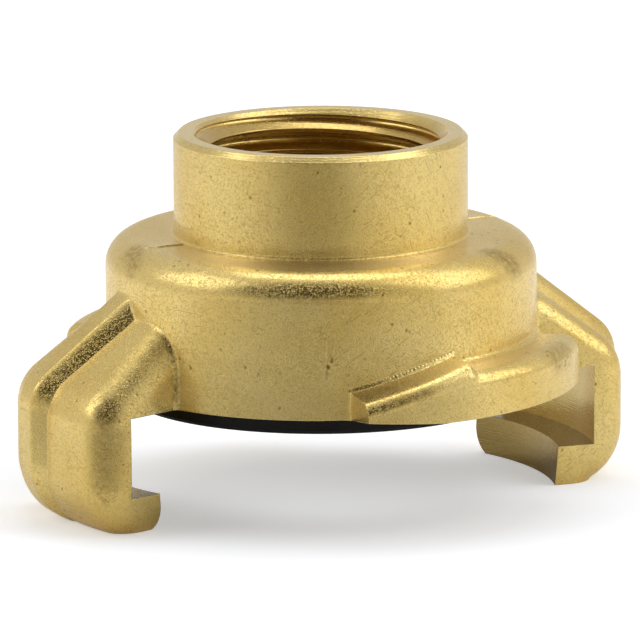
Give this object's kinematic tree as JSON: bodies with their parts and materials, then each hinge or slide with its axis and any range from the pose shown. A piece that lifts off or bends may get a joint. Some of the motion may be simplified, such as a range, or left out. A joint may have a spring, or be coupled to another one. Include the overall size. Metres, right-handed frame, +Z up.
{
  "type": "tap connector",
  "caption": "Brass claw quick-coupling half with hooked ribbed claws, ramped cam flanges, a black rubber face seal and a short round neck with an internal pipe thread.",
  "frame": {"origin": "on the axis of the bore, level with the soles of the claws, which it rests on", "axes": "+Z up the bore and out of the threaded neck; +X through the middle of one claw, -X through the other"},
  "size_m": [0.0538, 0.0434, 0.0308],
  "materials": {
    "forged_brass": "forged, with turned bore, claw pockets and seat",
    "seal_rubber": "moulded, matte"
  },
  "bodies": {
    "root": {"coupling_body": "forged_brass", "face_seal": "seal_rubber"}
  },
  "joints": []
}
